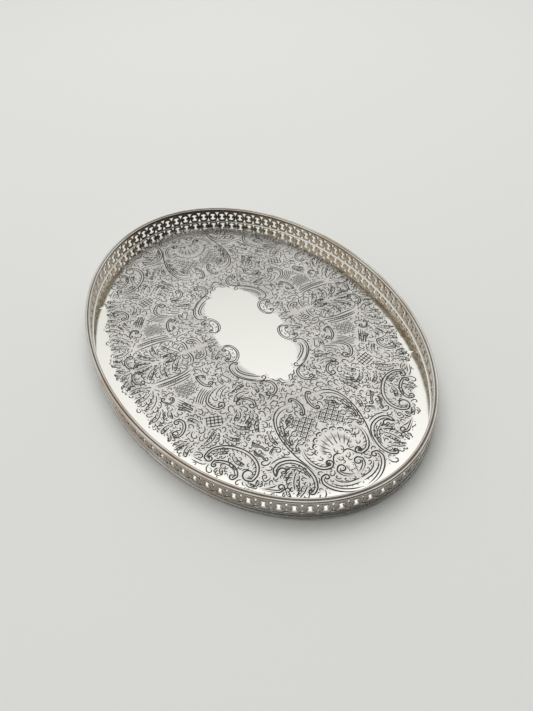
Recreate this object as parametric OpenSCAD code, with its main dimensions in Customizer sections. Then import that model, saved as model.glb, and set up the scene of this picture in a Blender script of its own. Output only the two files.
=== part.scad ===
// Oval silver-plated tray with a pierced gallery: a flat plate, a wall pierced with a row of linked
// rings, a reeded rim and a reeded foot. The outline is an ellipse, and every moulding keeps its
// width all the way round. The origin is on the table under the middle of the tray, +X runs along
// the tray and +Z is up.

/* [Tray] */
// Length over the foot moulding
tray_len = 357; // [340:1:380]
// Width over the foot moulding
tray_wid = 249; // [235:1:265]
// Overall height
tray_height = 18.8; // [18:0.1:21]

/* [Plate] */
// Thickness of the plate
plate_t = 1.2; // [0.8:0.1:1.6]
// Height of the plate's upper face above the table
plate_top = 3.6; // [3:0.1:4]

/* [Gallery] */
// Thickness of the gallery strip
strip_t = 1.0; // [0.8:0.1:1.2]
// Outer face of the strip, measured in from the foot moulding's outer edge
strip_inset = 1.9; // [1.7:0.1:2.2]
// Rings round the whole tray
rings = 100; // [92:4:108]
// Height of the rings' centres above the table
ring_height = 9.2; // [9:0.1:9.5]

/* [Rim] */
// Width of the rim moulding
rim_w = 4.2; // [3.8:0.1:4.6]
// Height of the rim moulding
rim_h = 2.6; // [2.3:0.1:2.8]
// Outer edge of the rim, measured in from the foot moulding's outer edge
rim_inset = 0.5; // [0.3:0.1:0.6]

/* [Foot] */
// Height of the foot moulding
foot_h = 3.2; // [3:0.1:3.3]

/* [Hidden] */
$fn = 96;

silver = "#d8d6d0";
warm_silver = "#c9c0ae";
grey_silver = "#bdbdbb";

half_len = tray_len / 2;
half_wid = tray_wid / 2;
strip_in = strip_inset + strip_t;
strip_mid = strip_inset + strip_t / 2;
strip_foot = 0.4;
strip_top = tray_height - rim_h;

// A point on the oval at one inset from the outline. The turn starts at the +X end.
function on_oval(inset, turn) = [(half_len - inset) * cos(turn), (half_wid - inset) * sin(turn)];

// Direction straight out of the oval at that point.
function out_angle(inset, turn) =
    atan2((half_len - inset) * sin(turn), (half_wid - inset) * cos(turn));

// Distances along the middle of the strip from the -Y side, degree by degree round the +X half.
function run_to(turn) =
    [for (a = -90, s = 0; a <= turn; s = s + norm(on_oval(strip_mid, a + 1) - on_oval(strip_mid, a)),
        a = a + 1) [s, a]];
RUN = run_to(90);
pitch = 2 * RUN[180][0] / rings;

// Openings of the piercing, in shares of the pitch.
spool_r = 0.35 * pitch;
lobe_r = 0.18 * pitch;
lobe_out = 0.265 * pitch;
gap_side_r = 0.72 * pitch;
gap_side_out = 0.715 * pitch;
gap_top = 0.54 * pitch;
cut = 1;

// Sections along half a moulding, and steps round each reed.
sweep_step = 2;
reed_step = 36;
reed_r = 0.22 * rim_w;
rim_bed = rim_h - reed_r;
broad_r = 0.32 * foot_h;
fine_r = 0.2 * foot_h;

module ellipse(inset) {
    scale([half_len - inset, half_wid - inset]) circle(r = 1);
}

// A moulding round the +X half: the profile's x is its inset from the outline, its y the height.
module half_moulding(profile) {
    count = len(profile);
    turns = [for (a = [-90 : sweep_step : 90]) a];
    last = count * (len(turns) - 1);
    polyhedron(
        points = [for (a = turns) for (p = profile) concat(on_oval(p.x, a), [p.y])],
        faces = concat(
            [[for (k = [0 : count - 1]) k]],
            [for (j = [0 : len(turns) - 2]) for (k = [0 : count - 1])
                let (next = (k + 1) % count)
                    [j * count + next, j * count + k, (j + 1) * count + k, (j + 1) * count + next]],
            [[for (k = [count - 1 : -1 : 0]) last + k]]
        )
    );
}

// Points of a reed's round face, from one direction to another. Zero degrees points inwards.
function reed(centre, r, from, to) =
    [for (a = [from : reed_step * sign(to - from) : to]) centre + r * [cos(a), sin(a)]];

// Rim in section: two reeds side by side on a flat bed.
function rim_profile() = concat(
    [[rim_inset, strip_top], [rim_inset, strip_top + rim_bed]],
    reed([rim_inset + 0.25 * rim_w, strip_top + rim_bed], reed_r, 180, 0),
    reed([rim_inset + 0.75 * rim_w, strip_top + rim_bed], reed_r, 180, 0),
    [[rim_inset + rim_w, strip_top + rim_bed], [rim_inset + rim_w, strip_top]]
);

// Foot in section: a broad reed on the table, and a fine one above it against the strip.
function foot_profile() = concat(
    [[strip_inset, 0], [broad_r, 0]],
    reed([broad_r, broad_r], broad_r, 234, 90),
    [[broad_r + 0.2, foot_h - 2 * fine_r]],
    reed([strip_inset - fine_r, foot_h - fine_r], fine_r, 234, 90),
    [[strip_inset, foot_h]]
);

// Opening inside a ring: a disc nipped at the waist by a round lobe on either side.
module spool_opening() {
    difference() {
        circle(r = spool_r);
        for (side = [-1, 1])
            translate([side * lobe_out, 0]) circle(r = lobe_r);
    }
}

// Opening between two rings, above their meeting point: a triangle with hollow sides.
module gap_opening() {
    difference() {
        translate([-pitch / 2, 0]) square([pitch, gap_top]);
        for (side = [-1, 1])
            translate([side * gap_side_out, 0]) circle(r = gap_side_r);
    }
}

// Sets a flat opening upright across the strip, at a distance along the +X half.
module across_strip(s) {
    turn = lookup(s, RUN);
    place = on_oval(strip_in, turn);
    translate([place.x, place.y, ring_height])
        rotate([0, 0, out_angle(strip_in, turn)])
            translate([-cut, 0, 0])
                rotate([90, 0, 90])
                    linear_extrude(strip_t + 2 * cut)
                        children();
}

module gallery_half() {
    difference() {
        translate([0, 0, strip_foot])
            linear_extrude(strip_top - strip_foot)
                intersection() {
                    difference() {
                        ellipse(strip_inset);
                        ellipse(strip_in);
                    }
                    translate([0, -tray_wid / 2]) square([half_len, tray_wid]);
                }
        for (k = [0 : rings / 2 - 1])
            across_strip((k + 0.5) * pitch) spool_opening();
        for (k = [0 : rings / 2])
            across_strip(k * pitch) {
                gap_opening();
                mirror([0, 1]) gap_opening();
            }
    }
}

module plate() {
    color(silver)
        translate([0, 0, plate_top - plate_t])
            linear_extrude(plate_t)
                ellipse(strip_in);
}

module gallery_left() {
    color(warm_silver) mirror([1, 0, 0]) gallery_half();
}

module gallery_right() {
    color(warm_silver) gallery_half();
}

module rim_left() {
    color(silver) mirror([1, 0, 0]) half_moulding(rim_profile());
}

module rim_right() {
    color(silver) half_moulding(rim_profile());
}

module foot_left() {
    color(grey_silver) mirror([1, 0, 0]) half_moulding(foot_profile());
}

module foot_right() {
    color(grey_silver) half_moulding(foot_profile());
}

plate();
gallery_left();
gallery_right();
rim_left();
rim_right();
foot_left();
foot_right();
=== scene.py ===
"""Oval silver-plated vanity tray: chased plate, pierced gallery, reeded rim and foot."""

import cmath
import math
import random

import bmesh
import bpy
from mathutils import Matrix, Vector, geometry, noise


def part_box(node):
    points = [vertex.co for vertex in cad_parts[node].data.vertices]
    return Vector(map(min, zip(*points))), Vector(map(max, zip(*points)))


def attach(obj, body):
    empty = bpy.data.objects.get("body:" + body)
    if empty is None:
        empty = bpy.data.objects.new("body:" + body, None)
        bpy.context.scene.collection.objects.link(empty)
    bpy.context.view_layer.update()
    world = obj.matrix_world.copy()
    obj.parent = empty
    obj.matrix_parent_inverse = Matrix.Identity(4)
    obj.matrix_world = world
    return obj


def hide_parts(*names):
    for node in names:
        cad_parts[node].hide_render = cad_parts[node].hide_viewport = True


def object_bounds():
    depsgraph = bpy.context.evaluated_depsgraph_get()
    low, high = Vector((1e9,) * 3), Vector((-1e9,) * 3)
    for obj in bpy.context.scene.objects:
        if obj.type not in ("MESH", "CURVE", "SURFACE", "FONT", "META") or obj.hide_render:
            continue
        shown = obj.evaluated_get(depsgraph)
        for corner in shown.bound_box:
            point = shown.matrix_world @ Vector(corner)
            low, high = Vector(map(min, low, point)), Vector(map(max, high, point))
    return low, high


bl_info = {
    "name": "Chased Gallery Tray",
    "version": (1, 0, 0),
    "blender": (4, 5, 0),
    "location": "3D View > Sidebar > Tray",
    "description": "Builds an oval chased tray with a pierced gallery round its packed frame",
    "category": "Add Mesh",
}

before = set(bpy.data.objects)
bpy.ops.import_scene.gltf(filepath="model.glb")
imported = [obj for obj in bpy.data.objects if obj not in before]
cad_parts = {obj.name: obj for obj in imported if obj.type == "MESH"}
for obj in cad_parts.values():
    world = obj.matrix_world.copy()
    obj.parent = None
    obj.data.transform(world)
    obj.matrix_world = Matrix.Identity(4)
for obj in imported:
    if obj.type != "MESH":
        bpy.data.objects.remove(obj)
CAD_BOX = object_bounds()
MM = 0.001
QUARTER = math.pi / 2
SIDES = {"right": 0.0, "left": math.pi}


# ---------------------------------------------------------------- sizes and colours


def edge_inset(node):
    """How far a node's outer edge lies in from the tray's outline."""
    return CAD_BOX[1].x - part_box(node)[1].x


def length(name, description, default):
    return bpy.props.FloatProperty(name=name, description=description, unit="LENGTH", default=default)


def colour(name, description, default):
    return bpy.props.FloatVectorProperty(name=name, description=description, subtype="COLOR",
                                         default=default)


class TraySizes(bpy.types.PropertyGroup):
    """Sizes of the tray, in metres."""

    half_length: length("Half length", "Half the length over the foot", CAD_BOX[1].x)
    half_width: length("Half width", "Half the width over the foot", CAD_BOX[1].y)
    rim_width: length("Rim width", "Width of the rim moulding, seen from above", 4.2 * MM)
    ring_height: length("Ring height", "Height of the gallery's ring centres", 9.2 * MM)
    rings: bpy.props.IntProperty(
        name="Rings", description="Rings in one half of the gallery", default=50)
    edge_round: length("Edge rounding", "Rounding of the sawn edges", 0.12 * MM)
    cove: length("Cove", "Radius of the cove round the plate's edge", 1.3 * MM)
    groove_depth: length("Groove depth", "Depth of a chased line", 0.3 * MM)


class TrayColours(bpy.types.PropertyGroup):
    """Colours of the plating, of the painted shade on the gallery's inner face, and of the stage."""

    silver: colour("Silver", "Clean silver plate", (0.835, 0.832, 0.79))
    tarnish: colour("Tarnish", "Warm brown tarnish", (0.36, 0.24, 0.13))
    patina: colour("Patina", "Dark oxide in the lines", (0.06, 0.055, 0.05))
    ground: colour("Ground", "Dulled silver of the chased ground", (0.45, 0.448, 0.42))
    gallery: colour("Gallery", "Silver of the pierced gallery", (0.66, 0.645, 0.6))
    # Painted shade: a warm dark colour mixed over the gallery's inner face and the inner part of its
    # openings' walls.
    gallery_inner_shade: colour("Gallery inside", "Warm painted shade on the inner face of the gallery", (0.4, 0.3, 0.195))
    rim: colour("Rim", "Silver of the rim moulding", (0.66, 0.645, 0.61))
    foot: colour("Foot", "Silver of the foot moulding", (0.6, 0.59, 0.57))
    floor: colour("Floor", "Pale table top", (0.84, 0.855, 0.835))


def sizes():
    return bpy.context.scene.tray_sizes


def colours():
    return bpy.context.scene.tray_colours


# ---------------------------------------------------------------- the oval


def on_oval(inset, turn, height):
    """The point of the oval at one inset from the outline, the turn counted from the +X end."""
    s = sizes()
    return Vector(((s.half_length - inset) * math.cos(turn),
                   (s.half_width - inset) * math.sin(turn), height))


def turns_by_length(inset, count):
    """Turns of evenly spaced places from the -Y side round the +X end to the +Y side."""
    steps = 1800
    turns = [math.pi * (i / steps - 0.5) for i in range(steps + 1)]
    places = [on_oval(inset, t, 0) for t in turns]
    runs = [0.0]
    for a, b in zip(places, places[1:]):
        runs.append(runs[-1] + (b - a).length)
    result, k = [], 0
    for j in range(count + 1):
        wanted = runs[-1] * j / count
        while k < steps - 1 and runs[k + 1] < wanted:
            k += 1
        share = (wanted - runs[k]) / (runs[k + 1] - runs[k])
        result.append(turns[k] + share * (turns[k + 1] - turns[k]))
    return result, runs[-1]


def finish_piece(bm, name, material, smooth_angle=math.radians(32), replaces=()):
    """Makes the object from its bmesh, and ties it to the frame."""
    mesh = bpy.data.meshes.new(name)
    bm.to_mesh(mesh)
    bm.free()
    mesh.shade_smooth()
    mesh.set_sharp_from_angle(angle=smooth_angle)
    piece = bpy.data.objects.new(name, mesh)
    bpy.context.scene.collection.objects.link(piece)
    mesh.materials.append(material)
    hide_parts(*replaces)
    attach(piece, "root")
    return piece


# ---------------------------------------------------------------- mouldings


def arc(centre, radius, start, end, count):
    """Points of a section's round stretch, the angles in degrees."""
    steps = [math.radians(start + (end - start) * i / count) for i in range(count + 1)]
    return [(centre[0] + radius * math.cos(a), centre[1] + radius * math.sin(a)) for a in steps]


def spun_half(section, start_turn, steps=180):
    """Spins a closed section of (inset, height) points half way round, and sets it on the oval."""
    bm = bmesh.new()
    layer = bm.verts.layers.float.new("patina")
    verts = [bm.verts.new((1.0 - inset, 0, height)) for inset, height in section]
    for v, a, b in zip(verts, section[-1:] + section[:-1], section[1:] + section[:1]):
        here = (1.0 - v.co.x, v.co.z)
        turn = (here[0] - a[0]) * (b[1] - here[1]) - (here[1] - a[1]) * (b[0] - here[0])
        v[layer] = 1.0 if turn > 1e-9 else 0.0
    edges = [bm.edges.new(pair) for pair in zip(verts, verts[1:] + verts[:1])]
    bmesh.ops.rotate(bm, verts=verts, cent=(0, 0, 0),
                     matrix=Matrix.Rotation(start_turn - QUARTER, 3, "Z"))
    bmesh.ops.spin(bm, geom=verts + edges, cent=(0, 0, 0), axis=(0, 0, 1), angle=math.pi,
                   steps=steps, use_merge=False)
    bmesh.ops.holes_fill(bm, edges=[e for e in bm.edges if e.is_boundary], sides=0)
    for v in bm.verts:
        v.co = on_oval(1.0 - v.co.xy.length, math.atan2(v.co.y, v.co.x), v.co.z)
    bmesh.ops.recalc_face_normals(bm, faces=bm.faces)
    return bm


def rim_section():
    """Two reeds with a groove between them, on a bed with a small bead at its lower outer edge."""
    outer = edge_inset("rim_right")
    low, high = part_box("rim_right")[0].z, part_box("rim_right")[1].z
    wide = sizes().rim_width
    reed = 0.24 * wide
    crown = high - reed
    section = [(outer + 0.35 * MM, low), (outer + 0.1 * MM, low + 0.25 * MM)]
    section += arc((outer + 0.5 * MM, low + 0.75 * MM), 0.45 * MM, 235, 120, 5)
    section += arc((outer + reed + 0.02 * MM, crown), reed, 190, 12, 12)
    section += arc((outer + wide - 0.9 * reed, high - reed * 1.08), 0.86 * reed, 165, -10, 10)
    section += [(outer + wide, low + 0.5 * MM), (outer + wide - 0.35 * MM, low)]
    return section


def foot_section():
    """A broad reed on the table, a groove, and a fine reed against the strip."""
    low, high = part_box("foot_right")[0].z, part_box("foot_right")[1].z
    strip = edge_inset("gallery_right")
    section = [(strip, low), (0.75 * MM, low)]
    section += arc((0.85 * MM, low + 0.85 * MM), 0.83 * MM, 230, 80, 10)
    section += arc((1.2 * MM, low + 2.1 * MM), 0.42 * MM, 225, 100, 6)
    section += arc((1.55 * MM, high - 0.36 * MM), 0.33 * MM, 215, 90, 5)
    section += [(strip, high - 0.02 * MM)]
    return section


# ---------------------------------------------------------------- the pierced strip


def gap_side(height, pitch):
    """Half the width of the opening between two rings, at a height from their meeting point."""
    return 0.715 * pitch - math.sqrt((0.72 * pitch) ** 2 - height ** 2)


def spool_outline(pitch):
    """Outline of a ring's opening: a disc nipped at the waist by a lobe on either side."""
    disc, lobe, out = 0.35 * pitch, 0.18 * pitch, 0.265 * pitch
    meet = (disc ** 2 - lobe ** 2 + out ** 2) / (2 * out)
    rise = math.sqrt(disc ** 2 - meet ** 2)
    cap = math.degrees(math.atan2(rise, meet))
    nip = math.degrees(math.atan2(rise, meet - out))
    upper = arc((0, 0), disc, cap, 180 - cap, 9)
    left = arc((-out, 0), lobe, 180 - nip, nip - 180, 8)
    lower = arc((0, 0), disc, 180 + cap, 360 - cap, 9)
    right = arc((out, 0), lobe, 360 - nip, nip, 8)
    return upper + left[1:-1] + lower + right[1:-1]


def cell_outline(pitch, low, high, centre):
    """Outline of one ring's share of the strip, with half an opening cut from each corner side."""
    top = 0.54 * pitch
    tip = math.sqrt((0.72 * pitch) ** 2 - (0.715 * pitch) ** 2)
    heights = [tip + (top - tip) * i / 6 for i in range(7)]
    right = [(pitch / 2, centre - top)]
    right += [(pitch / 2 - gap_side(h, pitch), centre - h) for h in reversed(heights)]
    right += [(pitch / 2 - gap_side(h, pitch), centre + h) for h in heights]
    right += [(pitch / 2, centre + top)]
    across = [pitch * (i / 6 - 0.5) for i in range(7)]
    outline = [(x, low) for x in across] + right + [(x, high) for x in reversed(across)]
    return outline + [(-x, z) for x, z in reversed(right)]


def loop_edges(bm, points):
    verts = [bm.verts.new((x, 0, z)) for x, z in points]
    return [bm.edges.new(pair) for pair in zip(verts, verts[1:] + verts[:1])]


def pierced_half(start_turn):
    """One half of the gallery: a flat pierced strip, thickened, then bent round the oval."""
    s = sizes()
    face, back = edge_inset("gallery_right"), edge_inset("plate")
    low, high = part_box("gallery_right")[0].z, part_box("gallery_right")[1].z
    turns, run = turns_by_length((face + back) / 2, s.rings * 40)
    pitch = run / s.rings
    centre = s.ring_height
    bm = bmesh.new()
    edges = loop_edges(bm, cell_outline(pitch, low, high, centre))
    edges += loop_edges(bm, [(x, z + centre) for x, z in spool_outline(pitch)])
    bmesh.ops.triangle_fill(bm, use_beauty=True, edges=edges, normal=(0, -1, 0))
    bmesh.ops.translate(bm, verts=bm.verts, vec=(pitch / 2, 0, 0))
    cell = list(bm.verts) + list(bm.edges) + list(bm.faces)
    for k in range(1, s.rings):
        copy = bmesh.ops.duplicate(bm, geom=cell)["geom"]
        bmesh.ops.translate(bm, verts=[v for v in copy if isinstance(v, bmesh.types.BMVert)],
                            vec=(k * pitch, 0, 0))
    bmesh.ops.remove_doubles(bm, verts=bm.verts, dist=0.002 * MM)
    raised = bmesh.ops.extrude_face_region(bm, geom=bm.faces)["geom"]
    bmesh.ops.translate(bm, verts=[v for v in raised if isinstance(v, bmesh.types.BMVert)],
                        vec=(0, back - face, 0))
    bmesh.ops.recalc_face_normals(bm, faces=bm.faces)
    sawn = [e for e in bm.edges if e.calc_face_angle(0) > 1.2
            and abs(e.verts[0].co.y - e.verts[1].co.y) < 0.01 * MM
            and low + 1 * MM < (e.verts[0].co.z + e.verts[1].co.z) / 2 < high - 1 * MM]
    bmesh.ops.bevel(bm, geom=sawn, offset=s.edge_round, offset_type="OFFSET", affect="EDGES",
                    segments=2, profile=0.5, material=-1, clamp_overlap=True)
    last = len(turns) - 1
    # The patina layer here holds painted shade, not patina: 0 on the outer face, rising through the walls of
    # the openings to 1 on the inner face.
    layer = bm.verts.layers.float.new("patina")
    for v in bm.verts:
        v[layer] = min(1.0, 1.6 * abs(v.co.y / (back - face)))
        place = min(max(v.co.x / run, 0.0), 1.0) * last
        k = min(int(place), last - 1)
        turn = turns[k] + (place - k) * (turns[k + 1] - turns[k])
        v.co = on_oval(face + v.co.y, turn + start_turn, v.co.z)
    bmesh.ops.recalc_face_normals(bm, faces=bm.faces)
    if bm.calc_volume(signed=True) < 0:
        bmesh.ops.reverse_faces(bm, faces=bm.faces)
    return bm


# ---------------------------------------------------------------- drawing the chased lines

# The design is drawn in millimetres as complex numbers, x along the tray and y across it, in the
# quarter where both are positive. A mirror repeats it in the other three quarters.
# MAIN, FINE and HAIR are half widths of the lines.
MAIN, FINE, HAIR = 0.6, 0.48, 0.38


def unit(z):
    return z / abs(z) if abs(z) > 1e-9 else 1 + 0j


def curve(points, step=0.5):
    """A smooth line through the points, with a point wherever it has turned or run far enough."""
    ends = [2 * points[0] - points[1]] + list(points) + [2 * points[-1] - points[-2]]
    dense = []
    for a, b, c, d in zip(ends, ends[1:], ends[2:], ends[3:]):
        count = max(2, round(abs(c - b) / step))
        for k in range(count):
            t = k / count
            dense.append(0.5 * (2 * b + (c - a) * t + (2 * a - 5 * b + 4 * c - d) * t * t
                                + (3 * b - a - 3 * c + d) * t ** 3))
    dense.append(points[-1])
    kept, turned, run = [dense[0]], 0.0, 0.0
    for a, b, c in zip(dense, dense[1:], dense[2:]):
        turned += abs(cmath.phase(unit(c - b) / unit(b - a)))
        run += abs(b - a)
        if turned > 0.3 or run > 3.5:
            kept.append(b)
            turned, run = 0.0, 0.0
    return kept + [dense[-1]]


def roll(start, eye, radius, sense, turns=1.15):
    """A curl that a line coming from start rolls into round its eye; sense +1 is anticlockwise."""
    reach = abs(start - eye)
    lead = math.acos(min(1.0, radius / reach)) if reach > radius else 0.0
    angle = cmath.phase(start - eye) + sense * lead
    count = max(5, round(9 * turns))
    return [eye + radius * (1 - 0.72 * k / count) * cmath.exp(1j * (angle + sense * math.tau * turns
                                                                    * k / count))
            for k in range(count + 1)]


def beside(line, distance, ends=1.0):
    """A line beside another, at a distance that shrinks to a share of itself at both ends."""
    last = len(line) - 1
    result = []
    for k, p in enumerate(line):
        along = unit(line[min(k + 1, last)] - line[max(k - 1, 0)])
        swell = ends + (1 - ends) * math.sin(math.pi * k / last) ** 0.5
        result.append(p + 1j * along * distance * swell)
    return result


class Chasing:
    """Collects the chased lines of one quarter of the plate."""

    def __init__(self):
        self.lines = []
        self.clear = []

    def line(self, points, width=FINE, step=0.5):
        self.lines.append((curve([complex(p) for p in points], step), width))

    def scroll(self, first, body, last, sense=1, band=1.8, width=MAIN, first_sense=None):
        """A C-scroll: a curl, a body and a curl, drawn as a band; first and last are (eye, radius)."""
        body = [complex(p) for p in body]
        head, tail = [], []
        if first:
            turn = -sense if first_sense is None else first_sense
            head = list(reversed(roll(body[0], first[0], first[1], turn)))
        if last:
            tail = roll(body[-1], last[0], last[1], sense)
        path = curve(head + body + tail, 0.35)
        self.lines.append((path, width))
        inner = curve(([head[-3]] if head else []) + body + (tail[:3] if tail else []), 0.6)
        if band:
            self.lines.append((beside(inner, sense * band, 0.35), FINE))
            self.clear += beside(inner, sense * band / 2)
        return path

    def fringe(self, path, start, end, count, length, lean=0.6, side=1, width=HAIR):
        """Short curved strokes along one side of a path, leaning forwards."""
        for k in range(count):
            share = start + (end - start) * k / max(1, count - 1)
            i = min(int(share * (len(path) - 1)), len(path) - 2)
            along = unit(path[i + 1] - path[i])
            out = 1j * along * side
            root = path[i] + out * 0.7
            reach = length * (0.75 + 0.25 * math.sin(math.pi * k / max(1, count - 1)))
            self.line([root, root + out * reach * 0.55 + along * reach * lean * 0.2,
                       root + out * reach + along * reach * lean], width)

    def leaf(self, base, tip, bend=0.15, spread=0.32, lobes=4, width=FINE, veins=True):
        """An acanthus leaf: a bent rib, and rounded lobes down both sides."""
        base, tip = complex(base), complex(tip)
        span = tip - base
        rib = [base + span * t + 1j * span * bend * math.sin(math.pi * t) for t in
               (0, 0.2, 0.4, 0.6, 0.8, 1.0)]
        self.line(rib, width)
        rib = curve(rib, 0.25)
        last = len(rib) - 1

        def on_rib(t):
            place = min(max(t, 0.0), 1.0) * last
            i = min(int(place), last - 1)
            return rib[i] + (place - i) * (rib[i + 1] - rib[i]), unit(rib[i + 1] - rib[i])

        for side in (1, -1):
            for k in range(lobes):
                low, along = on_rib(k / (lobes + 0.6))
                high, _ = on_rib((k + 1) / (lobes + 0.6))
                grow = math.sin(math.pi * (k + 0.9) / (lobes + 1.2))
                reach = abs(span) * spread * grow
                out = 1j * side * along
                crown = low + out * reach + along * reach * 0.9
                self.line([low + out * 0.4, low + out * reach * 0.75 + along * reach * 0.15, crown,
                           crown + along * reach * 0.35 - out * reach * 0.3, high + out * 0.5], width)
                if veins and reach > 2.2:
                    self.line([low + along * 0.9 + out * 0.9, crown - out * 0.9 - along * 0.5], HAIR)

    def ring(self, centre, radius, width=HAIR, count=6):
        points = [centre + radius * cmath.exp(1j * math.tau * k / count) for k in range(count + 1)]
        self.lines.append((points, width))

    def pattern(self, inside, origin, pitch, angle, width=HAIR, dots=0.0, reach=60.0):
        """Crossed lines clipped to a region, with a small ring in each mesh if dots is a radius."""
        turn = cmath.exp(1j * math.radians(angle))
        count = int(reach / pitch)
        for across in (turn, turn * 1j):
            for k in range(-count, count + 1):
                root = origin + k * pitch * across * 1j
                run = []
                for j in range(-2 * count, 2 * count + 1):
                    p = root + j * pitch * 0.5 * across
                    if inside(p):
                        run.append(p)
                    elif len(run) > 1:
                        self.lines.append((run, width))
                        run = []
                    else:
                        run = []
        if dots:
            for k in range(-count, count + 1):
                for j in range(-count, count + 1):
                    p = origin + turn * pitch * complex(k + 0.5, j + 0.5)
                    if inside(p):
                        self.ring(p, dots)


def in_polygon(corners):
    """A test for points inside a polygon."""
    corners = [complex(c) for c in corners]

    def test(p):
        inside = False
        for a, b in zip(corners, corners[1:] + corners[:1]):
            if (a.imag > p.imag) != (b.imag > p.imag):
                if p.real < a.real + (p.imag - a.imag) / (b.imag - a.imag) * (b.real - a.real):
                    inside = not inside
        return inside

    return test


def draw_cartouche(c):
    """The scrolls round the plain middle."""
    small = c.scroll((12.5 + 28j, 1.8), [9.6 + 26j, 11 + 22.5j, 17 + 20.3j, 23 + 21.5j, 27 + 25.5j],
                     (24.2 + 30j, 2.2), 1, 0)
    c.scroll((14 + 27.5j, 0.8), [14 + 26j, 17 + 25.3j, 21 + 26.3j], (22.6 + 29j, 1.6), 1, 0, FINE)
    c.line([8.4 + 31j, 8.2 + 26j, 9.8 + 22j, 13 + 19.7j, 18 + 18.9j, 23.5 + 20j, 28 + 23.5j, 29 + 27j])
    c.fringe(small, 0.35, 0.72, 9, 2.2, 0.3, 1)
    big = c.scroll((30.6 + 26.2j, 1.5), [29 + 28.5j, 31 + 32j, 36 + 33.3j, 42 + 32j, 48 + 28j, 53 + 22.5j,
                                         56 + 17j], (53.4 + 14.2j, 2.0), -1, 0)
    c.line([32 + 30.6j, 36 + 31.7j, 41 + 30.8j, 46 + 28j, 50.5 + 24j, 54 + 18.5j])
    c.line([32 + 27.6j, 36 + 28.9j, 41 + 27.6j, 46 + 23.8j, 50 + 18.5j, 51.6 + 15.5j], MAIN)
    c.line([32.4 + 26j, 36 + 27.2j, 40.4 + 26j, 45 + 22j, 48.6 + 17.4j])
    c.fringe(big, 0.3, 0.75, 14, 2.6, 0.5, 1)
    end = c.scroll((58 + 18j, 1.4), [57 + 15j, 59.5 + 11j, 64 + 9.6j, 69 + 10.8j, 72 + 14.5j],
                   (69.4 + 18j, 2.2), 1, 1.8)
    c.fringe(end, 0.35, 0.7, 7, 2.0, 0.3, -1)
    c.line([55 + 12j, 58 + 9j, 61 + 8j, 62 + 5.5j, 65 + 4.6j, 66 + 2j, 68.5 + 0j], MAIN)
    c.line([58 + 6.5j, 60.5 + 5.5j, 61 + 3.4j, 63.6 + 2.6j, 64.5 + 0j])
    for eye, radius in ((64.5 + 7.2j, 0.9), (67 + 5.2j, 0.9), (69 + 3.2j, 0.9), (71 + 1.2j, 0.9)):
        c.ring(eye, radius, FINE)
    c.leaf(0 + 29j, 0 + 38j, 0, 0.5, 3)
    c.scroll((7 + 37j, 1.6), [4 + 34j, 6 + 31j, 9.5 + 31.5j], None, 1, 0, FINE)
    c.leaf(14 + 31j, 20 + 39j, 0.2, 0.3, 3)
    c.line([32 + 38j, 37 + 40j, 43 + 37j, 47 + 38j])
    c.leaf(56 + 25j, 66 + 24j, -0.2, 0.34, 3)


def draw_middle(c):
    """Scrolls between the cartouche and the medallion on the short axis."""
    c.scroll((8.4 + 48j, 2.0), [10.6 + 51j, 11.5 + 47j, 9 + 43.6j, 4.5 + 42.6j, 0 + 43j], None, -1, 0)
    c.line([0 + 40.6j, 5 + 40.7j, 10.4 + 42j, 13.6 + 46j, 13.4 + 50.5j])
    c.line([0 + 53.6j, 5 + 52.6j, 10 + 52.8j, 14 + 55.5j], MAIN)
    c.line([0 + 55.6j, 5 + 54.6j, 9.5 + 54.8j, 13 + 57.5j])
    c.scroll((16.2 + 52.5j, 1.7), [14.5 + 56j, 17.5 + 56.5j, 20 + 53.5j], (18.5 + 48.5j, 1.5), -1, 0, FINE)
    arch = c.scroll((31 + 54j, 1.2), [28.5 + 58.6j, 33 + 59j, 38.5 + 57.6j, 42 + 54.5j], (39.7 + 51.7j, 2.1),
                    -1, 1.6)
    c.fringe(arch, 0.3, 0.7, 8, 2.0, 0.4, -1)
    c.line([29.5 + 51.5j, 33 + 53j, 36.5 + 54.4j], MAIN)
    c.line([22 + 43.6j, 25 + 44.6j, 27.5 + 43.4j])
    c.line([22.5 + 45.6j, 25.5 + 46.4j, 27 + 45.6j])
    c.line([29.4 + 45.2j, 33.3 + 44.8j, 33.4 + 47.6j, 30.5 + 48.5j])
    c.leaf(34 + 42j, 46 + 44j, 0.2, 0.3, 3)
    sweep = c.scroll(None, [44.5 + 44j, 45.5 + 51j, 49 + 57.5j, 54.5 + 61.6j, 60.5 + 61j, 65.5 + 57j],
                     (62.6 + 53.2j, 3.2), -1, 1.9)
    c.line([46.5 + 41j, 48 + 47j, 51 + 51.5j, 55 + 53j], FINE)
    c.line([48.5 + 40j, 50 + 45j, 53 + 48.5j, 57 + 48.6j], FINE)
    c.fringe(sweep, 0.1, 0.55, 16, 3.2, 0.8, -1)
    for k in range(4):
        c.line([40.5 + 1.6 * k + (57 - 1.1 * k) * 1j, 46 + 1.2 * k + (64 - 1.2 * k) * 1j,
                54 + k + (69.5 - 1.2 * k) * 1j], FINE)
    c.pattern(in_polygon([66 + 71j, 79 + 70j, 80 + 57j, 75 + 54j, 69 + 58j, 67 + 63j]), 73 + 63j, 2.7, 18,
              FINE, 0)
    c.scroll((67.5 + 41.5j, 1.8), [64.4 + 38j, 66 + 33.4j, 70.5 + 30.6j, 75 + 31.2j],
             (74 + 34j, 2.4), 1, 1.7)
    for leaf in ((60 + 30j, 66 + 45j, 0.25, 0.3, 4), (57 + 40j, 52 + 30j, -0.2, 0.3, 4),
                 (72 + 44j, 82 + 50j, -0.2, 0.34, 4), (76 + 27j, 66 + 23j, 0.2, 0.34, 3)):
        c.leaf(*leaf)


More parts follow.
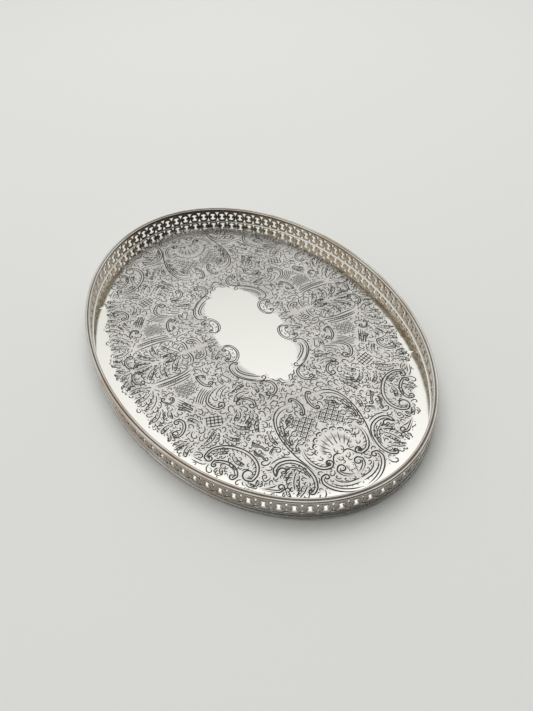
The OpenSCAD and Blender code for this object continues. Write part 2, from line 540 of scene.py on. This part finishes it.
def draw_medallion(c):
    """The medallion on the short axis, its side bands, the dotted ground and the diagonals."""
    c.line([20 + 91j, 20.2 + 82j, 20.5 + 74j, 19.8 + 66j, 17 + 58.5j], MAIN)
    c.line([23 + 90j, 23.4 + 81j, 23.2 + 73j, 22 + 65j, 19.6 + 58j], MAIN)
    c.line([25.6 + 88j, 25.8 + 80j, 25.6 + 73j, 24.4 + 66j, 22.6 + 60j])
    c.line([28 + 84j, 28 + 78j, 27.8 + 72j, 27 + 66j, 25.4 + 61j])
    c.clear += curve([21.6 + 90j, 21.9 + 82j, 21.8 + 74j, 20.9 + 66j, 18.4 + 59j])
    for k in range(14):
        c.ring(24.5 + 0.03 * k + (62 + 1.9 * k) * 1j, 0.5)
    c.pattern(in_polygon([29 + 62j, 36 + 60j, 44 + 66j, 46 + 72j, 40 + 79j, 30 + 79j]), 36 + 70j, 3.2, 45,
              HAIR, 0.75)
    c.scroll((4.6 + 95.2j, 1.8), [3 + 98.5j, 5.5 + 101.4j, 10 + 102.2j, 14.4 + 100.5j], (14.6 + 96j, 2.2),
             -1, 1.6)
    c.line([5 + 92j, 8 + 94.8j, 12 + 93.6j])
    for leaf in ((0 + 84j, 0 + 98j, 0, 0.34, 5), (4 + 80j, 14 + 92j, 0.15, 0.3, 5),
                 (2 + 62j, 15 + 72j, 0.15, 0.3, 5), (2 + 76j, 17 + 80j, 0.15, 0.3, 5),
                 (0 + 60j, 0 + 74j, 0, 0.34, 5)):
        c.leaf(*leaf)
    c.scroll((38 + 88j, 1.6), [41 + 88.6j, 44.4 + 85.6j, 43.5 + 82j], (40.5 + 82.6j, 1.8), -1, 1.2)
    for k in range(4):
        c.line([42 + 1.2 * k + (79 + 1.3 * k) * 1j, 48 + 1.2 * k + (75.4 + 1.2 * k) * 1j,
                56 + 1.2 * k + (70.5 + 1.2 * k) * 1j], FINE)
    hook = c.scroll((71.2 + 91j, 2.6), [75 + 91j, 73.6 + 86.4j, 69.4 + 83j, 64.5 + 82j, 60.8 + 84j],
                    (62.6 + 87j, 2.2), -1, 1.8, MAIN, 1)
    c.fringe(hook, 0.3, 0.72, 10, 2.6, 0.6, 1)
    for leaf in ((62 + 90j, 66 + 101j, 0.15, 0.32, 4), (68 + 95j, 76 + 97j, -0.15, 0.36, 3),
                 (24 + 93j, 20 + 109j, 0.2, 0.26, 5), (26 + 93j, 33 + 107j, -0.15, 0.28, 5),
                 (30 + 91j, 44 + 101j, -0.15, 0.28, 5), (8 + 104j, 15 + 111j, -0.1, 0.36, 4),
                 (0 + 103j, 5 + 111j, 0.1, 0.36, 4), (46 + 93j, 56 + 103j, -0.15, 0.3, 5),
                 (48 + 86j, 58 + 90j, 0.2, 0.32, 4), (58 + 74j, 50 + 82j, 0.15, 0.3, 4),
                 (72 + 73j, 62 + 79j, 0.15, 0.3, 4)):
        c.leaf(*leaf)


def draw_shell_end(c):
    """The shell on the long axis in its dotted lattice, the leaf frame and the outer scrolls."""
    c.scroll((83.2 + 7.8j, 1.6), [81.6 + 6j, 84.6 + 3.6j, 90 + 2.4j, 95.6 + 3.2j],
             (97.2 + 6.4j, 1.9), 1, 1.6)
    c.line([86 + 9j, 85 + 14j, 85.6 + 19j, 89 + 24j, 95 + 27.6j, 103 + 29.6j, 112 + 30j, 121 + 29j,
            130 + 27j, 138 + 24.2j, 144 + 23j], MAIN)
    c.line([88.4 + 10j, 88 + 15j, 89.4 + 20j, 93 + 24.4j, 99 + 27.2j, 107 + 28.4j, 116 + 28j,
            126 + 26.4j])
    c.line([92 + 20j, 97 + 24j, 104 + 26.4j, 112 + 26.8j, 120 + 26j])
    c.line([97 + 21.5j, 103 + 24.4j, 110 + 25.2j])
    c.clear += curve([87 + 10j, 86.4 + 19j, 91 + 24j, 101 + 28.4j, 112 + 29j, 126 + 27.2j])
    for root, tip, bend in ((102 + 17j, 112 + 26j, 0.3), (110 + 18j, 119 + 25.6j, 0.35),
                            (118 + 18j, 127 + 24.6j, 0.35), (96 + 13j, 101 + 22j, 0.2)):
        c.leaf(root, tip, bend, 0.3, 3)
    big = c.scroll(None, [121 + 20.6j, 126 + 23j, 132 + 23.4j, 138.6 + 21.6j, 143.6 + 17.6j, 145 + 12.4j],
                   (141.4 + 11.6j, 3.0), -1, 2.0)
    c.fringe(big, 0.12, 0.62, 13, 4.4, 0.9, -1)
    c.line([146 + 8.6j, 141 + 8j, 137.8 + 5.6j, 137.4 + 2.6j, 139.4 + 0j], MAIN)
    c.scroll((148.6 + 6.2j, 3.2), [149 + 10j, 153 + 8.6j, 156 + 4.6j, 156.8 + 0j], None, -1, 1.8)
    c.scroll((149.4 + 18.4j, 2.2), [148.4 + 21.8j, 153 + 23j, 159 + 19.8j, 164 + 13.6j, 166.6 + 6.6j,
                                    167.4 + 0j], None, -1, 2.2)
    c.line([154 + 18.5j, 158.6 + 14.8j, 161.4 + 9j, 162.4 + 3j, 162.4 + 0j])
    c.line([151.6 + 15.5j, 155.6 + 13.4j, 158.6 + 9j, 159.6 + 3.6j, 159.8 + 0j])
    outer = curve([153 + 21.4j, 159 + 17.6j, 163 + 11.6j, 165 + 5.4j, 165.4 + 0j])
    c.fringe(outer, 0.1, 0.95, 12, 2.4, 0.2, -1)
    shell(c, 140.5 + 0j, 24.5, 62, 5)
    frame_edge = in_polygon([99 + 0j, 99 + 9j, 93 + 17j, 99 + 22j, 108 + 19j, 117 + 19j, 126 + 19j,
                             130 + 14j, 122 + 15j, 115 + 9j, 112.5 + 0j])
    c.pattern(frame_edge, 108 + 0j, 4.1, 45, FINE, 1.05)
    c.pattern(in_polygon([74 + 0j, 74 + 8j, 80 + 12j, 83 + 11j, 79.5 + 6j, 81 + 0j]), 78 + 0j,
              3, 45)


def shell(c, hinge, radius, half_angle, lobes):
    """Half a scallop shell opening towards the middle: rounded lobes, with ribs to the hinge."""
    for k in range(lobes):
        share = k / (lobes - 0.5)
        middle = math.radians(180 - half_angle * share)
        half = math.radians(half_angle / (lobes - 0.5) / 2)
        reach = radius * (1 - 0.28 * share ** 1.6)

        def at(turn, distance, middle=middle):
            return hinge + distance * cmath.exp(1j * (middle + turn))

        c.line([at(half, reach * 0.9), at(half * 0.6, reach * 0.985), at(0, reach),
                at(-half * 0.6, reach * 0.985), at(-half, reach * 0.9)], MAIN)
        c.line([at(half * 0.5, reach * 0.86), at(0, reach * 0.92), at(-half * 0.5, reach * 0.86)], HAIR)
        c.line([at(half, reach * 0.9), at(half * 0.9, reach * 0.62), at(half * 0.8, reach * 0.4)], FINE)
        for turn, start in ((-0.45, 0.8), (0.0, 0.84), (0.45, 0.8)):
            c.line([at(half * turn, reach * start), at(half * turn, reach * 0.56)], HAIR * 0.8)


def draw_flank(c):
    """Scroll groups along the outer edge between the end and the medallion."""
    ear = c.scroll((132.4 + 41j, 3.0), [133.5 + 46.6j, 128.6 + 46j, 125.8 + 41.5j, 126 + 36j, 128.6 + 30.5j,
                                        133.6 + 26.8j, 140 + 25j, 147 + 24.8j, 153 + 27.2j],
                   (153.8 + 32j, 2.4), 1, 2.2, MAIN, 1)
    c.line([124.4 + 46.5j, 122.8 + 40.5j, 123.6 + 34.5j, 126 + 30j], FINE)
    c.fringe(ear, 0.45, 0.82, 14, 3.4, 0.8, 1)
    for leaf in ((136 + 32j, 148 + 41j, 0.1, 0.28, 5), (134 + 36j, 138 + 44j, 0.1, 0.3, 3),
                 (147 + 31j, 154 + 41j, -0.1, 0.3, 4), (131 + 38j, 146 + 28j, -0.22, 0.12, 5)):
        c.leaf(*leaf)
    drop = c.scroll(None, [136.6 + 60.5j, 141 + 55.6j, 144.6 + 50.6j], (142 + 47.6j, 2.6), -1, 1.5)
    c.line([138 + 57j, 139.6 + 52j, 139.2 + 48j])
    c.fringe(drop, 0.05, 0.5, 6, 2.4, 0.4, 1)
    c.scroll((130.6 + 53j, 1.8), [133.6 + 54.5j, 133 + 50.5j, 129.6 + 49.5j], None, -1, 0, FINE)
    for leaf in ((127 + 66j, 135 + 62j, 0.2, 0.36, 3), (134 + 63j, 131 + 57j, 0.2, 0.34, 3),
                 (145 + 44j, 151 + 47j, 0.2, 0.36, 3)):
        c.leaf(*leaf)
    comma = c.scroll((100.6 + 78.6j, 2.4), [97.6 + 81j, 94.6 + 76.4j, 94.4 + 70.6j, 96.8 + 64.4j,
                                            101.4 + 58.8j, 107.4 + 54.4j, 114 + 52.2j, 121 + 52.4j,
                                            127 + 56j, 129.4 + 61j],
                     (124.2 + 61.4j, 4.8), 1, 2.2)
    c.fringe(comma, 0.25, 0.68, 22, 4.6, 0.9, 1)
    c.leaf(104 + 64j, 118 + 61j, 0.2, 0.26, 5)
    c.leaf(100 + 75j, 102 + 65j, -0.15, 0.26, 4)
    cup = c.scroll((106.6 + 78j, 1.9), [104 + 76.4j, 106.4 + 71.6j, 111 + 67.8j, 116.6 + 66.4j, 121.4 + 68j],
                   (120.4 + 71.4j, 2.3), 1, 1.9)
    c.fringe(cup, 0.3, 0.7, 8, 2.2, 0.5, 1)
    c.leaf(110 + 72j, 117 + 77j, 0.3, 0.34, 3)
    c.line([94 + 90j, 98.6 + 87.4j, 102.4 + 84.6j, 103.6 + 81.6j])
    c.line([93 + 88j, 97.6 + 85.4j, 101 + 83j])
    for leaf in ((84 + 85j, 92 + 94j, 0.15, 0.32, 4), (82 + 87j, 82 + 97j, 0.1, 0.32, 4),
                 (90 + 80j, 84 + 66j, 0.15, 0.24, 6), (88 + 62j, 98 + 54j, 0.2, 0.26, 5),
                 (82 + 54j, 92 + 44j, 0.2, 0.28, 5), (86 + 34j, 98 + 42j, 0.2, 0.26, 5),
                 (78 + 36j, 88 + 46j, -0.2, 0.26, 5), (100 + 34j, 114 + 34j, 0.2, 0.24, 5)):
        c.leaf(*leaf)
    c.scroll((104.6 + 44.6j, 1.8), [102.4 + 48j, 106.4 + 48.6j, 109 + 45j], (112 + 42j, 1.8), -1,
             1.2, FINE, -1)
    c.scroll((116.6 + 36j, 2.4), [113.6 + 38.4j, 116.4 + 42j, 121 + 40j], None, -1, 1.2, FINE)
    c.scroll((112 + 47.4j, 1.8), [109 + 50j, 113 + 51j, 116 + 48j], (119 + 46j, 1.6), -1, 1.0, FINE, -1)
    c.scroll((99 + 49j, 1.6), [96.5 + 47j, 98 + 44.5j, 101 + 45j], None, 1, 0, FINE)


def outer_edge(angle):
    """How far the chased ground lies in from the outline: a scalloped edge, in millimetres."""
    return 14.0 + 1.3 * math.sin(angle * 46) + 0.8 * math.sin(angle * 19 + 1)


def in_ground(p, half_length, half_width):
    """Whether a place is in the chased ground: outside the cartouche and inside the plain border."""
    angle = math.atan2(p.imag / half_width, p.real / half_length)
    inset = outer_edge(angle)
    if (p.real / (half_length - inset)) ** 2 + (p.imag / (half_width - inset)) ** 2 > 1:
        return False
    low = [(0, 31), (8, 31), (9.5, 21), (17, 19), (25, 20.5), (29.5, 24), (36, 34), (46, 31), (53, 25),
           (57, 12), (63, 8.5), (67, 3), (69, -0.1)]
    for (xa, ya), (xb, yb) in zip(low, low[1:]):
        if xa <= p.real < xb and p.imag < ya + (yb - ya) * (p.real - xa) / (xb - xa):
            return False
    return True


class Crowd:
    """Remembers where lines already run, to keep new ones off them."""

    def __init__(self):
        self.cells = {}

    def add(self, points):
        for p in points:
            self.cells.setdefault((int(p.real // 2), int(p.imag // 2)), []).append(p)

    def free(self, p, room):
        i, j = int(p.real // 2), int(p.imag // 2)
        return all(abs(q - p) > room for di in (-1, 0, 1) for dj in (-1, 0, 1)
                   for q in self.cells.get((i + di, j + dj), ()))


def between(points, share_step=0.25):
    """The points of a line with more points set between them."""
    count = round(1 / share_step)
    return [a + (b - a) * k / count for a, b in zip(points, points[1:]) for k in range(count)] + [points[-1]]


def swirl(p, scale, place):
    """Smooth noise at a place, for the drift of the small strokes."""
    return noise.noise((p.real * scale, p.imag * scale, place))


HOOK = (-1.9 - 1.7j, -0.8 - 1.6j, 0.3 - 1.0j, 0.95 + 0.1j, 0.7 + 1.2j, -0.2 + 1.5j, -0.8 + 0.9j,
        -0.4 + 0.35j)
WAVE = (-2.6 - 0.3j, -1.5 + 0.5j, -0.2 + 0.3j, 1.0 - 0.5j, 2.2 - 0.3j, 2.7 + 0.6j)
DASH = (-1, 0.34j, 1)


def fill_ground(c, half_length, half_width):
    """Covers what is left of the ground with small scrolls, waves and dashes that drift together."""
    chance = random.Random(5)
    crowd = Crowd()
    for points, _ in c.lines:
        crowd.add(between(points))
    crowd.add(between(c.clear, 0.5))
    for shape, scale, wide_room, width, tries in (
            (HOOK, 1.8, 0.95, 0.52, 6000), (HOOK, 1.3, 0.88, 0.48, 12000), (HOOK, 1.0, 0.84, 0.45, 14000),
            (WAVE, 1.0, 0.82, 0.44, 14000), (HOOK, 0.72, 0.78, 0.4, 20000), (DASH, 1.7, 0.8, 0.44, 14000),
            (DASH, 1.0, 0.76, 0.4, 20000)):
        for _ in range(tries):
            p = complex(chance.random() * half_length, chance.random() * half_width)
            room = wide_room * (0.82 if p.real < 19 and p.imag > 57 else 1.0)
            if not in_ground(p, half_length, half_width) or not crowd.free(p, room):
                continue
            along = cmath.exp(1j * (7 * swirl(p, 0.045, 3.0) + 4 * swirl(p, 0.12, 9.0)))
            hand = swirl(p, 0.09, 20.0) > 0
            stroke = [p + along * scale * (q.conjugate() if hand else q) for q in map(complex, shape)]
            tests = between(stroke, 0.5)
            if all(min(q.real, q.imag) > 0.45 and crowd.free(q, room) for q in tests) \
                    and all(in_ground(q, half_length, half_width) for q in (stroke[0], stroke[-1])):
                c.lines.append((stroke, width))
                crowd.add(tests)


def chased_design(half_length, half_width):
    """All the lines of one quarter, as (points, half width)."""
    c = Chasing()
    draw_cartouche(c)
    draw_middle(c)
    draw_medallion(c)
    draw_shell_end(c)
    draw_flank(c)
    fill_ground(c, half_length, half_width)
    return c.lines


def swelling(points, width):
    """Half widths of a groove at its points: it comes to a point at both ends."""
    last = len(points) - 1
    return [width * min(1.0, 1.9 * math.sin(math.pi * k / last)) for k in range(last + 1)]


def groove_rims(points, widths):
    """The two rims of a groove beside its bottom line, all three meeting at the ends."""
    last = len(points) - 1
    sides = []
    for side in (1j, -1j):
        rim = [points[k] + side * unit(points[k + 1] - points[k - 1]) * widths[k] for k in range(1, last)]
        sides.append([points[0]] + rim + [points[last]])
    return sides


class Grooves:
    """Finds how deep the grooves of one quarter are at a place."""

    CELL = 2.0

    def __init__(self):
        self.cells = {}

    def add(self, points, widths):
        for a, b, wide_a, wide_b in zip(points, points[1:], widths, widths[1:]):
            reach = max(wide_a, wide_b)
            spans = [range(int((min(p, q) - reach) // self.CELL), int((max(p, q) + reach) // self.CELL) + 1)
                     for p, q in ((a.real, b.real), (a.imag, b.imag))]
            for i in spans[0]:
                for j in spans[1]:
                    self.cells.setdefault((i, j), []).append((a, b - a, wide_a, wide_b - wide_a))

    def depth(self, p):
        """Depth as a length across: the half width there less the distance from the bottom line."""
        deepest = 0.0
        cell = int(p.real // self.CELL), int(p.imag // self.CELL)
        for a, span, wide, change in self.cells.get(cell, ()):
            along = ((p - a) * span.conjugate()).real / max(abs(span) ** 2, 1e-9)
            along = min(max(along, 0.0), 1.0)
            deepest = max(deepest, wide + change * along - abs(p - a - span * along))
        return deepest


def chased_sheet(edge_inset_mm, sides=360):
    """The upper face: every groove cut into one triangulated sheet. Gives places, faces and depths."""
    s = sizes()
    places, edges, grooves = [], [], Grooves()
    for points, width in chased_design(s.half_length / MM, s.half_width / MM):
        if len(points) == 2:
            points = [points[0], (points[0] + points[1]) / 2, points[1]]
        widths = swelling(points, width)
        grooves.add(points, widths)
        for row in (points, *groove_rims(points, widths)):
            for sx, sy in ((1, 1), (1, -1), (-1, 1), (-1, -1)):
                first = len(places)
                places += [Vector((sx * p.real, sy * p.imag)) for p in row]
                edges += [(k, k + 1) for k in range(first, len(places) - 1)]
    first = len(places)
    for k in range(sides):
        places.append(on_oval(edge_inset_mm * MM, math.tau * k / sides, 0).xy / MM)
        edges.append((first + k, first + (k + 1) % sides))
    places, _, faces, _, _, _ = geometry.delaunay_2d_cdt(places, edges, [], 0, 0.004)
    depths = [grooves.depth(complex(abs(p.x), abs(p.y))) for p in places]
    return places, faces, depths


def chased_plate():
    """The plate: the chased sheet, a cove up to the gallery round its edge, and a plain underside."""
    s = sizes()
    wall = edge_inset("plate")
    low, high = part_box("plate")[0].z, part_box("plate")[1].z
    places, faces, depths = chased_sheet((wall + s.cove) / MM)
    bm = bmesh.new()
    layer = bm.verts.layers.float.new("patina")
    verts = []
    for p, depth in zip(places, depths):
        vert = bm.verts.new((p.x * MM, p.y * MM, high - s.groove_depth * depth / MAIN))
        vert[layer] = depth / MAIN
        verts.append(vert)
    for face in faces:
        bm.faces.new([verts[k] for k in face])
    section = [(wall + s.cove * (1 - math.sin(a)), high + s.cove * (1 - math.cos(a)))
               for a in (math.radians(18 * k) for k in range(1, 6))]
    section += [(wall - 0.05 * MM, high + s.cove), (wall - 0.05 * MM, low)]
    for inset, height in section:
        border = [e for e in bm.edges if e.is_boundary]
        raised = bmesh.ops.extrude_edge_only(bm, edges=border)["geom"]
        for v in [v for v in raised if isinstance(v, bmesh.types.BMVert)]:
            turn = math.atan2(v.co.y / s.half_width, v.co.x / s.half_length)
            v.co = on_oval(inset, turn, height)
            v[layer] = 0.0
    close(bm)
    return bm


def close(bm):
    """Closes every open edge loop with triangles."""
    bmesh.ops.holes_fill(bm, edges=[e for e in bm.edges if e.is_boundary], sides=0)
    bmesh.ops.triangulate(bm, faces=[f for f in bm.faces if len(f.verts) > 4])


def halved(whole, side):
    """One half of a closed shape, cut at the middle of its length and closed again there."""
    bm = whole.copy()
    outward = (1, 0, 0) if side == "left" else (-1, 0, 0)
    bmesh.ops.bisect_plane(bm, geom=list(bm.verts) + list(bm.edges) + list(bm.faces), dist=1e-7,
                           plane_co=(0, 0, 0), plane_no=outward, clear_outer=True)
    close(bm)
    bmesh.ops.recalc_face_normals(bm, faces=bm.faces)
    return bm


# ---------------------------------------------------------------- materials


class Nodes:
    """Small helper that adds and links the shader nodes of one material."""

    def __init__(self, name):
        self.material = bpy.data.materials.new(name)
        self.material.use_nodes = True
        self.tree = self.material.node_tree
        self.shader = self.tree.nodes["Principled BSDF"]
        self.place = self.add("ShaderNodeTexCoord").outputs["Object"]

    def add(self, kind, **settings):
        node = self.tree.nodes.new(kind)
        for key, value in settings.items():
            setattr(node, key, value)
        return node

    def put(self, value, socket):
        if isinstance(value, bpy.types.NodeSocket):
            self.tree.links.new(value, socket)
        else:
            socket.default_value = value

    def noise(self, scale, detail=3.0, rough=0.5, stretch=None):
        node = self.add("ShaderNodeTexNoise")
        place = self.place
        if stretch:
            mapping = self.add("ShaderNodeMapping")
            self.put(place, mapping.inputs["Vector"])
            mapping.inputs["Scale"].default_value = stretch
            place = mapping.outputs["Vector"]
        self.put(place, node.inputs["Vector"])
        node.inputs["Scale"].default_value = scale
        node.inputs["Detail"].default_value = detail
        node.inputs["Roughness"].default_value = rough
        return node.outputs["Fac"]

    def math(self, operation, a, b=0.0, clamp=False):
        node = self.add("ShaderNodeMath", operation=operation, use_clamp=clamp)
        self.put(a, node.inputs[0])
        self.put(b, node.inputs[1])
        return node.outputs[0]

    def span(self, value, low, high, out_low=0.0, out_high=1.0):
        node = self.add("ShaderNodeMapRange", interpolation_type="SMOOTHSTEP")
        self.put(value, node.inputs["Value"])
        self.put(low, node.inputs["From Min"])
        self.put(high, node.inputs["From Max"])
        self.put(out_low, node.inputs["To Min"])
        self.put(out_high, node.inputs["To Max"])
        return node.outputs["Result"]

    def mix(self, share, a, b):
        node = self.add("ShaderNodeMix", data_type="RGBA")
        self.put(share, node.inputs["Factor"])
        self.put(a, node.inputs["A"])
        self.put(b, node.inputs["B"])
        return node.outputs["Result"]

    def bump(self, height, strength, distance):
        node = self.add("ShaderNodeBump")
        self.put(height, node.inputs["Height"])
        node.inputs["Strength"].default_value = strength
        node.inputs["Distance"].default_value = distance
        self.put(node.outputs["Normal"], self.shader.inputs["Normal"])


    def oval(self, half_x, half_y):
        """Distance from the middle as a share of an oval's radius."""
        apart = self.add("ShaderNodeSeparateXYZ")
        self.put(self.place, apart.inputs[0])
        across = self.math("DIVIDE", apart.outputs["X"], half_x)
        along = self.math("DIVIDE", apart.outputs["Y"], half_y)
        return self.math("SQRT", self.math("ADD", self.math("MULTIPLY", across, across),
                                           self.math("MULTIPLY", along, along)))


def opaque(colour):
    return (*colour, 1.0)


def plated(name, silver, shade, shade_share, tarnish_share, rough_low, rough_high):
    """Silver plate: a darker colour where the patina attribute is high (dark oxide in the mouldings'
    hollows, painted shade on the gallery's inner face), tarnish in drifts, fine scratches.
    """
    c = colours()
    n = Nodes(name)
    n.shader.inputs["Metallic"].default_value = 1.0
    patina_and_shade_mask = n.add("ShaderNodeAttribute", attribute_name="patina").outputs["Fac"]
    drift = n.noise(22.0, 4.0, 0.6)
    fine = n.noise(260.0, 3.0, 0.6)
    amount = n.math("MULTIPLY", n.span(drift, 0.35, 0.7), tarnish_share, clamp=True)
    amount = n.math("ADD", amount, n.math("MULTIPLY", n.span(fine, 0.5, 0.8), 0.3 * tarnish_share),
                    clamp=True)
    base = n.mix(amount, opaque(silver), opaque(c.tarnish))
    # Mixes in the shade colour by the mask: oxide in the mouldings' hollows, painted shade on the gallery's
    # inner face.
    base = n.mix(n.math("MULTIPLY", n.span(patina_and_shade_mask, 0.2, 0.9), shade_share), base, opaque(shade))
    n.put(base, n.shader.inputs["Base Color"])
    rough = n.span(n.math("ADD", n.math("MULTIPLY", drift, 0.6), n.math("MULTIPLY", fine, 0.4)),
                   0.3, 0.7, rough_low, rough_high)
    n.put(rough, n.shader.inputs["Roughness"])
    scratches = n.noise(900.0, 2.0, 0.5, stretch=(1.0, 0.12, 1.0))
    n.bump(n.math("ADD", n.math("MULTIPLY", scratches, 0.3), n.noise(60.0, 2.0)), 0.1, 0.0004)
    return n.material


def chased_silver():
    """The plate: dark oxide in the grooves, a greyer ground, a mirror border and middle."""
    c = colours()
    s = sizes()
    n = Nodes("chased_silver_plate")
    n.shader.inputs["Metallic"].default_value = 1.0
    groove = n.add("ShaderNodeAttribute", attribute_name="patina").outputs["Fac"]
    drift = n.noise(18.0, 4.0, 0.6)
    fine = n.noise(420.0, 3.0, 0.65)
    border = 15.5 * MM
    ground = n.span(n.oval(s.half_length - border, s.half_width - border), 1.02, 0.97)
    middle = n.oval(60 * MM, 27 * MM)
    ground = n.math("MULTIPLY", ground, n.span(middle, 1.0, 1.12))
    grey = n.mix(n.math("MULTIPLY", ground, n.span(drift, 0.3, 0.7, 0.3, 0.75)), opaque(c.silver),
                 opaque(c.ground))
    speck = n.math("MULTIPLY", n.span(fine, 0.52, 0.7), n.math("MULTIPLY", ground, 0.3))
    grey = n.mix(speck, grey, opaque(c.tarnish))
    base = n.mix(n.math("MULTIPLY", n.span(groove, 0.03, 0.4), 0.96), grey, opaque(c.patina))
    n.put(base, n.shader.inputs["Base Color"])
    rough = n.math("ADD", n.span(drift, 0.3, 0.7, 0.06, 0.13), n.math("MULTIPLY", ground, 0.14))
    n.put(n.math("ADD", rough, n.math("MULTIPLY", groove, 0.25), clamp=True),
          n.shader.inputs["Roughness"])
    n.bump(n.math("ADD", n.noise(28.0, 2.0), n.math("MULTIPLY", fine, 0.06)), 0.12, 0.0006)
    return n.material


# ---------------------------------------------------------------- operators


class TRAY_OT_plate(bpy.types.Operator):
    """Build the chased plate, in two halves"""

    bl_idname = "tray.plate"
    bl_label = "Chased Plate"

    def execute(self, context):
        whole = chased_plate()
        material = chased_silver()
        for side in SIDES:
            finish_piece(halved(whole, side), f"chased_plate_{side}", material,
                         smooth_angle=math.radians(20), replaces=["plate"])
        whole.free()
        return {"FINISHED"}


class TRAY_OT_mouldings(bpy.types.Operator):
    """Build the reeded rim and foot, each in two halves"""

    bl_idname = "tray.mouldings"
    bl_label = "Rim and Foot"

    def execute(self, context):
        c = colours()
        rim = plated("rim_silver_plate", c.rim, c.patina, 0.88, 0.5, 0.16, 0.3)
        foot = plated("foot_silver_plate", c.foot, c.patina, 0.85, 0.35, 0.18, 0.32)
        for side, turn in SIDES.items():
            finish_piece(spun_half(rim_section(), turn), f"rim_moulding_{side}", rim,
                         replaces=[f"rim_{side}"])
            finish_piece(spun_half(foot_section(), turn), f"foot_moulding_{side}",
                         foot, replaces=[f"foot_{side}"])
        return {"FINISHED"}


class TRAY_OT_gallery(bpy.types.Operator):
    """Build the gallery: a strip pierced with linked rings, in two halves"""

    bl_idname = "tray.gallery"
    bl_label = "Pierced Gallery"

    def execute(self, context):
        c = colours()
        # The gallery's inner face is darkened with painted shade, a warm dark colour mixed in at 0.68.
        material = plated("gallery_silver_plate", c.gallery, c.gallery_inner_shade, 0.68, 0.42, 0.08, 0.2)
        for side, turn in SIDES.items():
            finish_piece(pierced_half(turn), f"pierced_gallery_{side}", material,
                         replaces=[f"gallery_{side}"])
        return {"FINISHED"}


class TRAY_OT_stage(bpy.types.Operator):
    """Set the pale table top, the soft lights and the camera"""

    bl_idname = "tray.stage"
    bl_label = "Stage and Camera"

    def execute(self, context):
        bm = bmesh.new()
        bmesh.ops.create_grid(bm, x_segments=1, y_segments=1, size=6.0)
        mesh = bpy.data.meshes.new("table_top")
        bm.to_mesh(mesh)
        bm.free()
        floor = bpy.data.objects.new("table_top", mesh)
        context.scene.collection.objects.link(floor)
        n = Nodes("table_paint")
        n.put(opaque(colours().floor), n.shader.inputs["Base Color"])
        n.shader.inputs["Roughness"].default_value = 0.6
        mesh.materials.append(n.material)
        set_world(context)
        set_light(context)
        set_camera(context)
        return {"FINISHED"}


def set_world(context):
    """A soft room: pale and bright beyond the tray, dark behind the camera."""
    world = bpy.data.worlds.new("soft_room")
    context.scene.world = world
    world.use_nodes = True
    tree = world.node_tree
    place = tree.nodes.new("ShaderNodeTexCoord")
    apart = tree.nodes.new("ShaderNodeSeparateXYZ")
    tree.links.new(place.outputs["Generated"], apart.inputs[0])
    product = tree.nodes.new("ShaderNodeMath")
    product.operation = "MULTIPLY"
    for slot, axis, shape, low, high, out_low, out_high in (
            (0, "X", "SMOOTHSTEP", -0.35, 0.5, 1.05, 0.09), (1, "Z", "LINEAR", 0.48, 0.87, 0.66, 1.22)):
        ramp = tree.nodes.new("ShaderNodeMapRange")
        ramp.interpolation_type = shape
        for name, value in (("From Min", low), ("From Max", high), ("To Min", out_low),
                            ("To Max", out_high)):
            ramp.inputs[name].default_value = value
        tree.links.new(apart.outputs[axis], ramp.inputs["Value"])
        tree.links.new(ramp.outputs["Result"], product.inputs[slot])
    sky = tree.nodes["Background"]
    sky.inputs["Color"].default_value = (1.0, 0.99, 0.97, 1)
    tree.links.new(product.outputs[0], sky.inputs["Strength"])
    context.scene.view_settings.view_transform = "Standard"


def set_light(context):
    """A wide soft light high up beyond the tray; it is left out of the reflections."""
    data = bpy.data.lights.new("ceiling_light", "AREA")
    data.shape = "DISK"
    data.size = 1.6
    data.energy = 14.0
    light = bpy.data.objects.new("ceiling_light", data)
    light.visible_glossy = False
    light.location = (-0.9, 0.35, 1.9)
    light.rotation_euler = light.location.to_track_quat("Z", "Y").to_euler()
    context.scene.collection.objects.link(light)


def set_camera(context):
    """A camera at arm's length off the +X end, looking down at 45 degrees."""
    data = bpy.data.cameras.new("camera")
    camera = bpy.data.objects.new("camera", data)
    context.scene.collection.objects.link(camera)
    context.scene.camera = camera
    stand = Vector((0.3014, -0.1335, 0.3038))
    aim = Vector((0.0311, 0.0, 0.0))
    roll = math.radians(-1.855)
    back = (stand - aim).normalized()
    right = Vector((0, 0, 1)).cross(back).normalized()
    up = back.cross(right)
    axis_x = right * math.cos(roll) + up * math.sin(roll)
    axis_y = up * math.cos(roll) - right * math.sin(roll)
    camera.matrix_world = Matrix((
        (axis_x.x, axis_y.x, back.x, stand.x),
        (axis_x.y, axis_y.y, back.y, stand.y),
        (axis_x.z, axis_y.z, back.z, stand.z),
        (0, 0, 0, 1)))
    data.sensor_width = 36.0
    data.lens = 27.47
    data.clip_start = 0.01


class TRAY_PT_panel(bpy.types.Panel):
    """Lists the tray's pieces in the sidebar"""

    bl_label = "Gallery Tray"
    bl_space_type = "VIEW_3D"
    bl_region_type = "UI"
    bl_category = "Tray"

    def draw(self, context):
        for operator in OPERATORS:
            self.layout.operator(operator.bl_idname)


OPERATORS = (TRAY_OT_plate, TRAY_OT_mouldings, TRAY_OT_gallery, TRAY_OT_stage)
CLASSES = (TraySizes, TrayColours, *OPERATORS, TRAY_PT_panel)


def register():
    for cls in CLASSES:
        bpy.utils.register_class(cls)
    bpy.types.Scene.tray_sizes = bpy.props.PointerProperty(type=TraySizes)
    bpy.types.Scene.tray_colours = bpy.props.PointerProperty(type=TrayColours)


def unregister():
    del bpy.types.Scene.tray_sizes
    del bpy.types.Scene.tray_colours
    for cls in reversed(CLASSES):
        bpy.utils.unregister_class(cls)


def main():
    register()
    bpy.ops.tray.plate()
    bpy.ops.tray.mouldings()
    bpy.ops.tray.gallery()
    bpy.ops.tray.stage()


if __name__ == "__main__":
    main()
